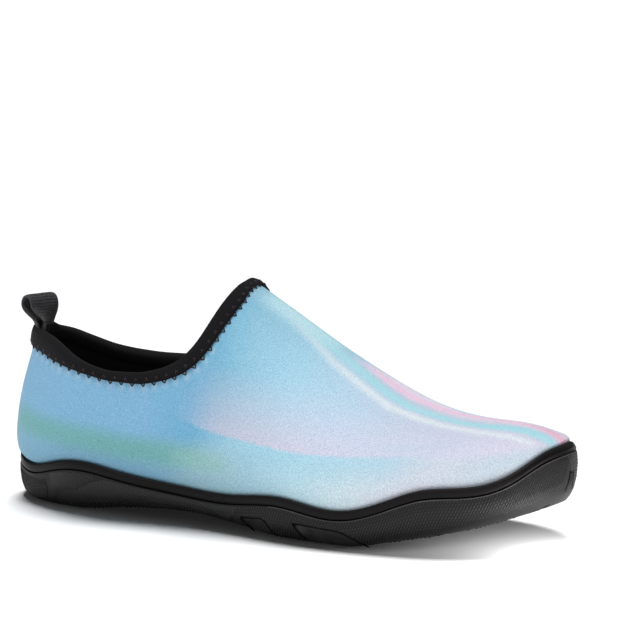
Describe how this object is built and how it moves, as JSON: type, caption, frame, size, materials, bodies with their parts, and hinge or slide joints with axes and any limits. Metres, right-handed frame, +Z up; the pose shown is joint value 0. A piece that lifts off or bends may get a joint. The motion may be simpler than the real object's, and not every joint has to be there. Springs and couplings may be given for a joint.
{
  "type": "water shoe",
  "caption": "Slip-on water shoe with a stretch-cloth upper, bound collar, heel pull loop and a low cup sole in black rubber with a grooved tread.",
  "frame": {"origin": "centre of the box at floor level, under the shoe's waist", "axes": "+X towards the toe, +Y towards the inner side of the foot, +Z up; the sole stands on Z = 0"},
  "size_m": [0.2512, 0.0909, 0.0959],
  "materials": {
    "sole_rubber": "satin moulded rubber",
    "insole_foam": "cloth-faced foam",
    "stretch_cloth": "smooth printed stretch cloth on foam",
    "binding_tape": "matte knitted tape",
    "webbing": "ribbed webbing"
  },
  "bodies": {
    "root": {"outsole": "sole_rubber", "insole": "insole_foam", "upper": "stretch_cloth", "collar_binding": "binding_tape", "pull_loop": "webbing"}
  },
  "joints": []
}
